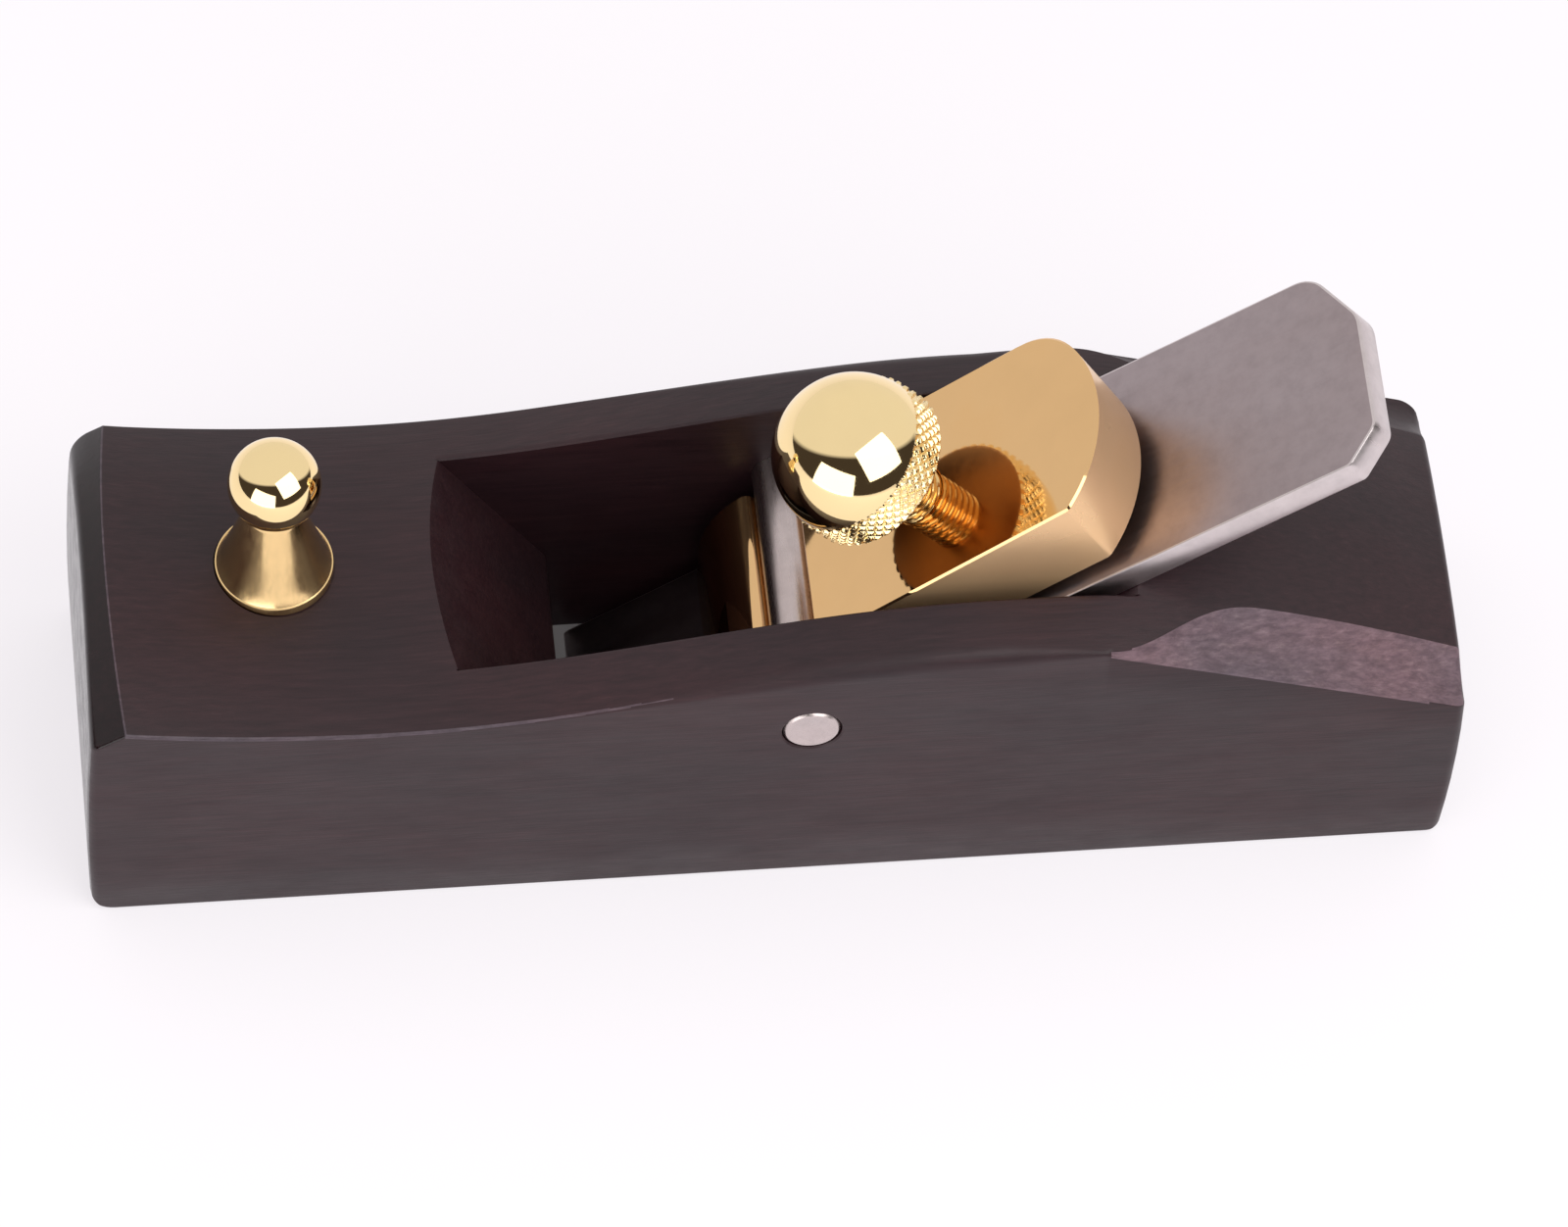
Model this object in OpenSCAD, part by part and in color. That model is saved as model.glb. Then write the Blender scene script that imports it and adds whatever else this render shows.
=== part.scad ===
// Wooden block plane: a crowned hardwood stock, a thick single iron on a sloping bed, and a brass
// lever cap that a domed, knurled thumb screw tightens under a steel cross pin.
// The sole lies on z = 0, the toe points to -X and the plane is symmetric about y = 0.

/* [Stock] */
// Length from toe to heel
body_l = 184; // [176:1:196]
// Width across the sole
body_w = 50; // [48:1:56]
// Height of the top line at the toe
toe_h = 46.9; // [45:0.1:49]
// Height of the top line at its low point in front of the throat
dip_h = 42.6; // [41.5:0.1:44]
// Height of the top line over the throat
hump_h = 52.3; // [51:0.1:54]
// Height of the top line at the heel
heel_h = 35.2; // [33:0.1:38]
// How far the long edges lie below the middle of the top
crown = 4; // [2:0.1:5]

/* [Throat] */
// Width of the throat between the cheeks
throat_w = 33.6; // [32.6:0.1:35]
// Slope of the throat's front wall from the sole
ramp_angle = 58; // [55:1:62]
// Gap between the iron's edge and the front of the mouth
mouth_gap = 1.6; // [0.8:0.1:2.4]

/* [Iron] */
// Slope of the bed
bed_angle = 37.5; // [37:0.1:38]
// Length of the iron
iron_l = 128; // [110:1:132]
// Width of the iron
iron_w = 31.2; // [29:0.1:31.6]
// Thickness of the iron
iron_t = 4.3; // [3.8:0.1:4.6]
// Grinding angle of the bevel
bevel_angle = 28; // [25:1:31]

/* [Lever cap] */
// Width of the cap
cap_w = 28.6; // [26:0.1:30]
// Thickness of the cap behind the pin
cap_t = 12.5; // [11:0.1:12.6]
// Length from the pin to the cap's rounded rear end
cap_l = 53.4; // [46:0.1:56]
// Slope of the cap's face above that of the bed
cap_rise = 4; // [3.8:0.1:4.4]
// Diameter of the cross pin
pin_d = 8; // [6:0.1:8.2]

/* [Thumb screw] */
// Diameter of the domed head
ball_d = 22; // [18:0.5:23]
// Diameter of the thread
thread_d = 8; // [7.5:0.5:9]
// Distance of the screw behind the pin
screw_arm = 23.2; // [22.5:0.1:24]

/* [Strike button] */
// Diameter of the button's ball
button_ball_d = 12.4; // [10:0.1:14]
// Diameter of the button's flared foot
button_foot_d = 15.8; // [13:0.1:18]
// Height of the ball's centre above the button's seat
button_ball_h = 19.2; // [17:0.1:21]

/* [Hidden] */
$fn = 64;

// Spare length on cutting tools, and the interference of a driven fit
over = 10;
press = 0.01;

// --- Stock -----------------------------------------------------------------------------------
dip_x = -52;       // low point of the top line
hump_x0 = 28;      // start and end of the level stretch over the throat
hump_x1 = 36;
heel_run = 110;    // half-wave that the fall to the heel is a part of
corner_r = 2;      // upright corners
toe_bevel = [5, 3.2];       // length and drop of the bevel along the toe's top edge
toe_bevel_waist = 1.6;      // how much shorter the bevel is in the middle
grid_x = 46;       // cells of the crowned top along and across
grid_y = 12;
grid_spare = 4;    // how much longer and wider the crowned grid is than the stock

// Palm reliefs on the heel's long edges
relief_x0 = 43;    // where each relief starts, as a point on the long edge
relief_x1 = 57;    // where it reaches its full width
relief_in = 17.4;  // its inner edge, from the middle
relief_z = 42.4;   // its lower edge on the side at relief_x1, and the fall and rise of its face
relief_fall = 17.6;
relief_rise = 28.5;

function ease(t) = (1 - cos(180 * t)) / 2;
function fall(x) = ease((x - hump_x1) / heel_run);
function top_z(x) =
    x < dip_x ? dip_h + (toe_h - dip_h) * pow((dip_x - x) / (dip_x + body_l / 2), 2)
  : x < hump_x0 ? dip_h + (hump_h - dip_h) * ease((x - dip_x) / (hump_x0 - dip_x))
  : x < hump_x1 ? hump_h
  : hump_h - (hump_h - heel_h) * fall(x) / fall(body_l / 2);
function crown_z(y) = -crown * pow(2 * y / body_w, 2);

// --- Iron and throat ---------------------------------------------------------------------------
edge_x = -24.8;    // cutting edge, on the sole
bed_gap = 0.02;    // between bed and iron
wear_h = 17;       // height of the steep wall over the mouth
wear_lean = 1.1;   // how far that wall leans towards the toe at its top
mouth_x = edge_x - mouth_gap;
ramp_x = mouth_x - wear_lean;
iron_clip_far = [6, 9.4];   // clipped corners of the iron's rear end: along and across
iron_clip_near = [4.4, 4];

// --- Lever cap -----------------------------------------------------------------------------------
pin_x = 3.9;
pin_z = 33.85;
pin_depth = 2.74;  // pin's centre below the cap's face
pin_run = 0.05;    // clearance of the cap's groove on the pin
face_angle = bed_angle + cap_rise;
cap_end_r = 18.5;
cap_corner_r = 9;
cap_lean = 12;         // the rear wall is undercut by this angle
cap_rear_drop = 0.85;  // the underside falls this far towards the rear
nose_x = -7;       // upright front of the nose
nose_r = 16.5;
nose_gap = 0.03;
nose_pad = 2.5;    // length of the nose's bearing strip
nose_relief = [4, 1.05];    // where the hollow under the cap starts, and its first depth
under_s = 24;      // where the cap reaches its full thickness

// The cap's own frame has its origin at the pin's centre, with s up along the face and n outwards.
// iron_n(s) is the iron's face in that frame.
pin_over_iron = (pin_z - (pin_x - edge_x) * tan(bed_angle)) * cos(bed_angle);
function iron_n(s) = -pin_over_iron / cos(cap_rise) - s * tan(cap_rise);
nose_dx = nose_x - pin_x;
nose_dz = (nose_x - edge_x) * tan(bed_angle) - pin_z;
nose_s = nose_dx * cos(face_angle) + nose_dz * sin(face_angle);
nose_n = nose_dz * cos(face_angle) - nose_dx * sin(face_angle);
nose_top_s = nose_s + (pin_depth - nose_n) * tan(face_angle);
nose_arc_s = nose_top_s + nose_r * tan((90 - face_angle) / 2);
under_n = pin_depth - cap_t;

// --- Thumb screw ---------------------------------------------------------------------------------
thread_run = 0.05;
ball_h = 13.2;     // dome's centre above the cap's face
band_out = 0.3;    // the knurled band stands this proud
band = [-4.6, 0.8];    // band from and to, along the axis from the dome's centre
band_chamfer = 0.5;
stud_in_knob = 9;
pad_d = 7.2;
pad_h = 2.3;
pad_dome_r = 14;
pad_gap = 0.02;
spigot_d = 4;
spigot_h = 4;
knob_n = pin_depth + ball_h + band[0];
pad_n = iron_n(screw_arm) + pad_dome_r / cos(cap_rise) - pad_dome_r + pad_gap;

// --- Strike button -------------------------------------------------------------------------------
button_x = -65.6;
button_neck_d = 7.4;
button_rim_h = 1.6;
foot_sink = 0.5;   // how far the button's flat foot is let into the crowned top
foot_run = 0.2;     // spare width of the seat
strike_screw_d = 4;
strike_screw_up = 9;
strike_screw_down = 20;

// Puts children into the iron's frame: origin at the cutting edge, x up the bed
module on_bed() {
    translate([edge_x, 0, 0]) rotate([0, -bed_angle, 0]) children();
}

// Puts children into the cap's frame
module on_cap() {
    translate([pin_x, 0, pin_z]) rotate([0, -face_angle, 0]) children();
}

// Puts children on the screw's axis, with z = 0 at the pin's height in the cap's frame
module on_screw() {
    on_cap() translate([screw_arm, 0, 0]) children();
}

// Extrudes an outline drawn in x and z across the plane's width
module across(w) {
    rotate([90, 0, 0]) linear_extrude(height = w, center = true) children();
}

// Line where the toe's bevel starts, and the top surface with that bevel
function arris_x(y) = -body_l / 2 + toe_bevel[0] - toe_bevel_waist * (1 - pow(2 * y / body_w, 2));
function surface_z(x, y) =
    let (a = arris_x(y))
    crown_z(y) + (x < a ? top_z(a) - (a - x) * toe_bevel[1] / toe_bevel[0] : top_z(x));

// Columns of the grid: one beyond the toe, one on the bevel's line, the rest at even steps
function column_x(i, y, l) =
    let (a = arris_x(y))
    i == 0 ? -l / 2 : a + (l / 2 - a) * (i - 1) / (grid_x - 1);

// Block under the crowned top, larger all round than the stock
module crowned_block() {
    l = body_l + grid_spare;
    w = body_w + grid_spare;
    cols = grid_x + 1;
    rows = grid_y + 1;
    top = [for (i = [0 : grid_x], j = [0 : grid_y])
        let (y = w * (j / grid_y - 0.5), x = column_x(i, y, l))
        [x, y, surface_z(x, y)]];
    base = [for (x = [-1, 1], y = [-1, 1]) [x * l / 2, y * w / 2, -over]];
    n = cols * rows;
    function at(i, j) = i * rows + j;
    polyhedron(
        points = concat(top, base),
        faces = concat(
            [for (i = [0 : grid_x - 1], j = [0 : grid_y - 1]) [at(i, j), at(i, j + 1), at(i + 1, j)]],
            [for (i = [0 : grid_x - 1], j = [0 : grid_y - 1])
                [at(i, j + 1), at(i + 1, j + 1), at(i + 1, j)]],
            [concat([for (j = [grid_y : -1 : 0]) at(0, j)], [n, n + 1])],
            [concat([for (j = [0 : grid_y]) at(grid_x, j)], [n + 3, n + 2])],
            [concat([for (i = [0 : grid_x]) at(i, 0)], [n + 2, n])],
            [concat([for (i = [grid_x : -1 : 0]) at(i, grid_y)], [n + 1, n + 3])],
            [[n, n + 2, n + 3, n + 1]]));
}

// Outline with rounded upright corners, taller than the stock
module plan_prism() {
    linear_extrude(height = hump_h + over) {
        square([body_l - 2 * corner_r, body_w], center = true);
        square([body_l, body_w - 2 * corner_r], center = true);
        for (sx = [-1, 1], sy = [-1, 1])
            translate([sx * (body_l / 2 - corner_r), sy * (body_w / 2 - corner_r)]) circle(r = corner_r);
    }
}

// Space above one palm relief, on the +Y side
module relief_cut() {
    edge = body_w / 2;
    intersection() {
        linear_extrude(height = 2 * hump_h)
            polygon([[relief_x0, edge + 0.1], [relief_x1, relief_in + 0.6], [relief_x1 + 6, relief_in - 1],
                     [body_l / 2 + 1, relief_in - 1], [body_l / 2 + 1, edge + over],
                     [relief_x0, edge + over]]);
        translate([relief_x1, edge, relief_z]) rotate([0, relief_fall, 0]) rotate([-relief_rise, 0, 0])
            translate([-6 * over, -6 * over, 0]) cube([12 * over, 12 * over, 3 * over]);
    }
}

// Throat: a sloping front wall, a steep wall over the mouth and the bed
module throat_cut() {
    bed_x = edge_x + (iron_t + bed_gap) / sin(bed_angle);
    top = hump_h + over;
    across(throat_w) polygon([
        [mouth_x + wear_lean / wear_h, -1],
        [ramp_x, wear_h],
        [ramp_x - (top - wear_h) / tan(ramp_angle), top],
        [bed_x + top / tan(bed_angle), top],
        [bed_x - 1 / tan(bed_angle), -1]]);
}

module stock() {
    color([0.27, 0.22, 0.23]) difference() {
        intersection() {
            crowned_block();
            plan_prism();
        }
        for (side = [0, 1]) mirror([0, side, 0]) relief_cut();
        throat_cut();
        translate([pin_x, 0, pin_z]) rotate([90, 0, 0])
            cylinder(h = body_w + over, d = pin_d - 2 * press, center = true);
        translate([button_x, 0, top_z(button_x) - foot_sink])
            cylinder(h = over, d = button_foot_d + foot_run);
        translate([button_x, 0, top_z(button_x) - strike_screw_down])
            cylinder(h = strike_screw_down, d = strike_screw_d - 2 * press);
    }
}

module cross_pin() {
    chamfer = 0.6;
    color([0.78, 0.76, 0.76]) translate([pin_x, 0, pin_z]) rotate([90, 0, 0]) {
        cylinder(h = body_w - 2 * chamfer, d = pin_d, center = true);
        for (end = [0, 1]) mirror([0, 0, end]) translate([0, 0, body_w / 2 - chamfer])
            cylinder(h = chamfer, d1 = pin_d, d2 = pin_d - 2 * chamfer);
    }
}

// Side outline of the cap in s and n
module cap_outline() {
    turn = 90 - face_angle;
    n_steps = 8;
    arc = [for (i = [0 : n_steps]) let (a = 90 + turn * i / n_steps)
        [nose_arc_s + nose_r * cos(a), pin_depth - nose_r + nose_r * sin(a)]];
    strip_s = nose_s + nose_pad;
    relief_s = nose_s + nose_relief[0];
    polygon(concat(
        [[cap_l + 1, pin_depth]], arc,
        [[nose_s + nose_gap, nose_n + nose_gap], [strip_s, iron_n(strip_s) + nose_gap],
         [relief_s, iron_n(relief_s) + nose_relief[1]], [under_s, under_n],
         [cap_l + 1, under_n - cap_rear_drop]]));
}

// Outline of the cap seen square to its face
module cap_plan() {
    half = cap_w / 2;
    front = nose_s - 10;
    mid = cap_l - cap_end_r;
    near_a = asin(half / cap_end_r);
    corner_s = mid + sqrt(pow(cap_end_r - cap_corner_r, 2) - pow(half - cap_corner_r, 2));
    far_a = atan2(half - cap_corner_r, corner_s - mid);
    end = [for (i = [0 : 32]) let (a = -near_a + (far_a + near_a) * i / 32)
        [mid + cap_end_r * cos(a), cap_end_r * sin(a)]];
    corner = [for (i = [1 : 8]) let (a = far_a + (90 - far_a) * i / 8)
        [corner_s + cap_corner_r * cos(a), half - cap_corner_r + cap_corner_r * sin(a)]];
    polygon(concat([[front, -half]], end, corner, [[front, half]]));
}

module lever_cap() {
    groove_r = pin_d / 2 + pin_run;
    color([0.83, 0.66, 0.33]) on_cap() difference() {
        intersection() {
            across(cap_w) cap_outline();
            translate([cap_l, 0, pin_depth]) rotate([0, cap_lean, 0]) translate([-cap_l, 0, -4 * cap_t])
            linear_extrude(height = 8 * cap_t) cap_plan();
        }
        rotate([90, 0, 0]) cylinder(h = cap_w + over, r = groove_r, center = true);
        translate([-groove_r, -cap_w, 0]) cube([2 * groove_r, 2 * cap_w, over]);
        translate([screw_arm, 0, -2 * cap_t]) cylinder(h = 3 * cap_t, d = thread_d + 2 * thread_run);
    }
}

module iron() {
    half = iron_w / 2;
    bevel_l = iron_t / tan(bevel_angle);
    color([0.66, 0.64, 0.65]) on_bed() intersection() {
        across(iron_w) polygon([[0, 0], [iron_l, 0], [iron_l, -iron_t], [bevel_l, -iron_t]]);
        translate([0, 0, -2 * iron_t]) linear_extrude(height = 4 * iron_t) polygon([
            [-1, -half], [iron_l - iron_clip_near[0], -half], [iron_l, -half + iron_clip_near[1]],
            [iron_l, half - iron_clip_far[1]], [iron_l - iron_clip_far[0], half], [-1, half]]);
    }
}

module screw_knob() {
    dome_n = pin_depth + ball_h;
    band_r = ball_d / 2 + band_out;
    low = knob_n;
    high = dome_n + band[1];
    color([0.86, 0.70, 0.38]) on_screw() difference() {
        union() {
            intersection() {
                translate([0, 0, dome_n]) sphere(d = ball_d, $fn = 96);
                translate([0, 0, low + 1]) cylinder(h = 2 * ball_d, d = 2 * ball_d);
            }
            rotate_extrude()
                polygon([[0, low], [band_r - band_chamfer, low], [band_r, low + band_chamfer], [band_r, high], [0, high]]);
        }
        translate([0, 0, low - 1]) cylinder(h = stud_in_knob + 1, d = thread_d - 2 * press);
    }
}

module screw_stud() {
    tip_n = pad_n + pad_h + pad_gap;
    color([0.80, 0.62, 0.30]) on_screw() difference() {
        translate([0, 0, tip_n]) cylinder(h = knob_n + stud_in_knob - tip_n, d = thread_d);
        translate([0, 0, tip_n - 1]) cylinder(h = spigot_h + 1.3, d = spigot_d + 2 * thread_run);
    }
}

// Pad with a domed face that bears on the iron and a spigot that the stud turns on
module pressure_pad() {
    color([0.80, 0.62, 0.30]) on_screw() translate([0, 0, pad_n]) {
        intersection() {
            cylinder(h = pad_h, d = pad_d);
            translate([0, 0, pad_dome_r]) sphere(r = pad_dome_r, $fn = 96);
        }
        translate([0, 0, pad_h / 2]) cylinder(h = pad_h / 2 + spigot_h, d = spigot_d);
    }
}

// Ball on a trumpet-shaped foot, turned in one piece
module strike_button() {
    foot_r = button_foot_d / 2;
    neck_r = button_neck_d / 2;
    neck_h = button_ball_h - sqrt(pow(button_ball_d / 2, 2) - pow(neck_r, 2));
    flare = [for (i = [0 : 10]) let (t = i / 10)
        [foot_r + (neck_r - foot_r) * pow(t, 0.8), button_rim_h + (neck_h - button_rim_h) * t]];
    color([0.86, 0.70, 0.38]) translate([button_x, 0, top_z(button_x) - foot_sink]) difference() {
        union() {
            rotate_extrude() polygon(concat([[0, 0], [foot_r, 0]], flare, [[0, neck_h]]));
            translate([0, 0, button_ball_h]) sphere(d = button_ball_d);
        }
        translate([0, 0, -1]) cylinder(h = strike_screw_up + 1, d = strike_screw_d - 2 * press);
    }
}

module strike_screw() {
    color([0.66, 0.64, 0.65])
        translate([button_x, 0, top_z(button_x) - strike_screw_down])
        cylinder(h = strike_screw_down - foot_sink + strike_screw_up, d = strike_screw_d);
}

stock();
cross_pin();
lever_cap();
iron();
screw_knob();
screw_stud();
pressure_pad();
strike_button();
strike_screw();
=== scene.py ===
"""A wooden block plane: crowned ebony stock, thick iron, brass lever cap, domed thumb screw.

Shapes are worked out in millimetres; mesh_object turns them into metres in the CAD frame.
"""

import math

import bmesh
import bpy
from mathutils import Matrix, Vector

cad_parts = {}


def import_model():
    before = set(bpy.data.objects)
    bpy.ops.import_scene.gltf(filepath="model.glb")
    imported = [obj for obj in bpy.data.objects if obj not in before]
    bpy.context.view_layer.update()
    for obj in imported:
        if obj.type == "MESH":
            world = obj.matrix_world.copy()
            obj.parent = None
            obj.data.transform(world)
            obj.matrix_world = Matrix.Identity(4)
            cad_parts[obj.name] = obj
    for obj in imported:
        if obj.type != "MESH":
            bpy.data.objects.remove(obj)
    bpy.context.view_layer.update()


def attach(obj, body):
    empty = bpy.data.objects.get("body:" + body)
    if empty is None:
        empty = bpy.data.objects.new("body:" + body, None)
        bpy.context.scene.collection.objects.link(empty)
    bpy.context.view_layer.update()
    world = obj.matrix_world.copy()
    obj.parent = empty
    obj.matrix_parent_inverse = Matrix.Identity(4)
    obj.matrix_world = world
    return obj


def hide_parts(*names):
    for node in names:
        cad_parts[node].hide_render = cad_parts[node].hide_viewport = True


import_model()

MM = 0.001
HALF_L = 92.0
HALF_W = 25.0
JOIN = 0.002  # points of a mesh closer together than this become one
SLIVER = 0.004  # the same, after booleans


def rad(deg):
    return math.radians(deg)


# ---------------------------------------------------------------------------------------------
# Mesh helpers
# ---------------------------------------------------------------------------------------------


def mesh_object(name, verts, faces, merge=JOIN, to_world=None):
    """An object from points in millimetres; points closer than merge become one."""
    bm = bmesh.new()
    made = [bm.verts.new(v) for v in verts]
    for f in faces:
        ring = [made[i] for i in f]
        if len(set(ring)) > 2:
            try:
                bm.faces.new(ring)
            except ValueError:
                pass
    bmesh.ops.remove_doubles(bm, verts=bm.verts, dist=merge)
    bmesh.ops.dissolve_degenerate(bm, dist=merge / 2, edges=bm.edges)
    bmesh.ops.recalc_face_normals(bm, faces=bm.faces)
    matrix = Matrix.Scale(MM, 4)
    bm.transform(matrix @ to_world if to_world else matrix)
    mesh = bpy.data.meshes.new(name)
    bm.to_mesh(mesh)
    bm.free()
    obj = bpy.data.objects.new(name, mesh)
    bpy.context.scene.collection.objects.link(obj)
    return obj


def apply_modifiers(obj):
    """Replaces the object's mesh by its evaluated one."""
    bpy.context.view_layer.update()
    evaluated = obj.evaluated_get(bpy.context.evaluated_depsgraph_get())
    mesh = bpy.data.meshes.new_from_object(evaluated)
    obj.modifiers.clear()
    obj.data = mesh


def boolean(obj, tool, operation):
    """Applies one exact boolean and deletes the tool."""
    mod = obj.modifiers.new("boolean", "BOOLEAN")
    mod.operation = operation
    mod.solver = "EXACT"
    mod.object = tool
    apply_modifiers(obj)
    bpy.data.objects.remove(tool, do_unlink=True)


def cut(obj, *tools):
    """Takes the tools away from the object, one after another."""
    for tool in tools:
        boolean(obj, tool, "DIFFERENCE")


def common(obj, tool):
    """Keeps what the object and the tool share."""
    boolean(obj, tool, "INTERSECT")


def clean(obj):
    """Joins the flat pieces that booleans leave behind."""
    bm = bmesh.new()
    bm.from_mesh(obj.data)
    bmesh.ops.remove_doubles(bm, verts=bm.verts, dist=SLIVER * MM)
    bmesh.ops.dissolve_limit(bm, angle_limit=rad(0.3), verts=bm.verts, edges=bm.edges)
    bm.to_mesh(obj.data)
    bm.free()


def soften(obj, width, segments, angle):
    """Small bevels on edges sharper than the angle, so that they catch the light."""
    mod = obj.modifiers.new("edges", "BEVEL")
    mod.width = width * MM
    mod.segments = segments
    mod.limit_method = "ANGLE"
    mod.angle_limit = rad(angle)
    mod.use_clamp_overlap = False
    apply_modifiers(obj)


def shade(obj, angle):
    """Smooth shading except over edges sharper than the angle."""
    for p in obj.data.polygons:
        p.use_smooth = True
    obj.data.set_sharp_from_angle(angle=rad(angle))


def finish_piece(obj, body, nodes, material):
    """Gives a piece its material, the nodes it stands for and the body it rides on."""
    obj.data.materials.clear()
    obj.data.materials.append(material)
    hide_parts(*nodes)
    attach(obj, body)
    return obj


def second_material(obj, material, picked):
    """Gives the faces for which picked(face) holds another material than the rest."""
    obj.data.materials.append(material)
    for face in obj.data.polygons:
        face.material_index = 1 if picked(face) else 0


def extrusion(name, outline, low, high, axis="y", to_world=None):
    """A prism over an outline of (a, b) points; axis y takes them as x and z, axis z as x and y."""
    n = len(outline)
    if axis == "y":
        verts = [(a, low, b) for a, b in outline] + [(a, high, b) for a, b in outline]
    else:
        verts = [(a, b, low) for a, b in outline] + [(a, b, high) for a, b in outline]
    faces = [list(range(n)), list(range(2 * n - 1, n - 1, -1))]
    faces += [[i, (i + 1) % n, n + (i + 1) % n, n + i] for i in range(n)]
    return mesh_object(name, verts, faces, to_world=to_world)


def lathe(name, profile, steps, to_world, radius_at=None):
    """Turns a profile of (r, z) round the z axis; radius_at(r, z, turn) may change a radius."""
    verts, faces = [], []
    for r, z in profile:
        for k in range(steps):
            turn = 2 * math.pi * k / steps
            reach = radius_at(r, z, turn) if radius_at else r
            verts.append((reach * math.cos(turn), reach * math.sin(turn), z))
    for j in range(len(profile) - 1):
        for k in range(steps):
            a, b = j * steps + k, j * steps + (k + 1) % steps
            faces.append([a, b, b + steps, a + steps])
    if profile[0][0] > 0:
        faces.append(list(range(steps)))
    if profile[-1][0] > 0:
        last = (len(profile) - 1) * steps
        faces.append(list(range(last + steps - 1, last - 1, -1)))
    return mesh_object(name, verts, faces, to_world=to_world)


def arc(cx, cy, r, start, end, steps):
    """Points on an arc from start to end degrees."""
    return [
        (
            cx + r * math.cos(rad(start + (end - start) * i / steps)),
            cy + r * math.sin(rad(start + (end - start) * i / steps)),
        )
        for i in range(steps + 1)
    ]


def rounded(points, radii, steps):
    """An outline whose corners are rounded by tangent arcs; radius 0 leaves a corner sharp."""
    out = []
    n = len(points)
    for i, (p, r) in enumerate(zip(points, radii)):
        if r <= 0:
            out.append(p)
            continue
        p = Vector(p)
        to_a = (Vector(points[i - 1]) - p).normalized()
        to_b = (Vector(points[(i + 1) % n]) - p).normalized()
        half = to_a.angle(to_b) / 2
        reach = r / math.tan(half)
        centre = p + (to_a + to_b).normalized() * (r / math.sin(half))
        a, b = p + to_a * reach - centre, p + to_b * reach - centre
        sweep = a.angle_signed(b)
        for k in range(steps + 1):
            turned = Matrix.Rotation(-sweep * k / steps, 2) @ a
            out.append(tuple(centre + turned))
    return out


# ---------------------------------------------------------------------------------------------
# Materials
# ---------------------------------------------------------------------------------------------


class Nodes:
    """A material's node tree, with short calls for the nodes that are used here."""

    def __init__(self, name):
        self.material = bpy.data.materials.new(name)
        self.material.use_nodes = True
        self.tree = self.material.node_tree
        self.shader = self.tree.nodes["Principled BSDF"]
        self.place = self.tree.nodes.new("ShaderNodeTexCoord").outputs["Object"]

    def set(self, **values):
        """Fixed values of the shader's sockets, with _ for a space."""
        for key, value in values.items():
            self.shader.inputs[key.replace("_", " ")].default_value = value

    def link(self, out, socket):
        """Feeds an output into one of the shader's sockets."""
        self.tree.links.new(out, self.shader.inputs[socket])

    def stretched(self, scale, turn=(0, 0, 0)):
        """Object coordinates, turned and then scaled, so that a noise runs one way."""
        node = self.tree.nodes.new("ShaderNodeMapping")
        node.inputs["Scale"].default_value = scale
        node.inputs["Rotation"].default_value = turn
        self.tree.links.new(self.place, node.inputs["Vector"])
        return node.outputs["Vector"]

    def noise(self, vector, scale, detail, rough=0.55, distortion=0.0):
        node = self.tree.nodes.new("ShaderNodeTexNoise")
        node.inputs["Scale"].default_value = scale
        node.inputs["Detail"].default_value = detail
        node.inputs["Roughness"].default_value = rough
        node.inputs["Distortion"].default_value = distortion
        self.tree.links.new(vector, node.inputs["Vector"])
        return node.outputs["Fac"]

    def ramp(self, fac, *stops):
        """A colour ramp over (position, colour or grey) stops."""
        node = self.tree.nodes.new("ShaderNodeValToRGB")
        elements = node.color_ramp.elements
        while len(elements) < len(stops):
            elements.new(0.5)
        for element, (position, value) in zip(elements, stops):
            element.position = position
            colour = value if isinstance(value, tuple) else (value, value, value)
            element.color = (*colour, 1)
        self.tree.links.new(fac, node.inputs["Fac"])
        return node.outputs["Color"]

    def math(self, operation, a, b):
        node = self.tree.nodes.new("ShaderNodeMath")
        node.operation = operation
        for socket, value in zip(node.inputs, (a, b)):
            if isinstance(value, (int, float)):
                socket.default_value = value
            else:
                self.tree.links.new(value, socket)
        return node.outputs[0]

    def times(self, a, b):
        """The product of two colours."""
        node = self.tree.nodes.new("ShaderNodeMix")
        node.data_type = "RGBA"
        node.blend_type = "MULTIPLY"
        factor, first, second = node.inputs[0], node.inputs[6], node.inputs[7]
        factor.default_value = 1.0
        for socket, value in zip((first, second), (a, b)):
            if isinstance(value, tuple):
                socket.default_value = (*value, 1)
            else:
                self.tree.links.new(value, socket)
        return node.outputs[2]

    def bump(self, height, distance, strength, under=None):
        """A bump in metres, over another normal if there is one."""
        node = self.tree.nodes.new("ShaderNodeBump")
        node.inputs["Distance"].default_value = distance
        node.inputs["Strength"].default_value = strength
        self.tree.links.new(height, node.inputs["Height"])
        if under:
            self.tree.links.new(under, node.inputs["Normal"])
        return node.outputs["Normal"]


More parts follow.
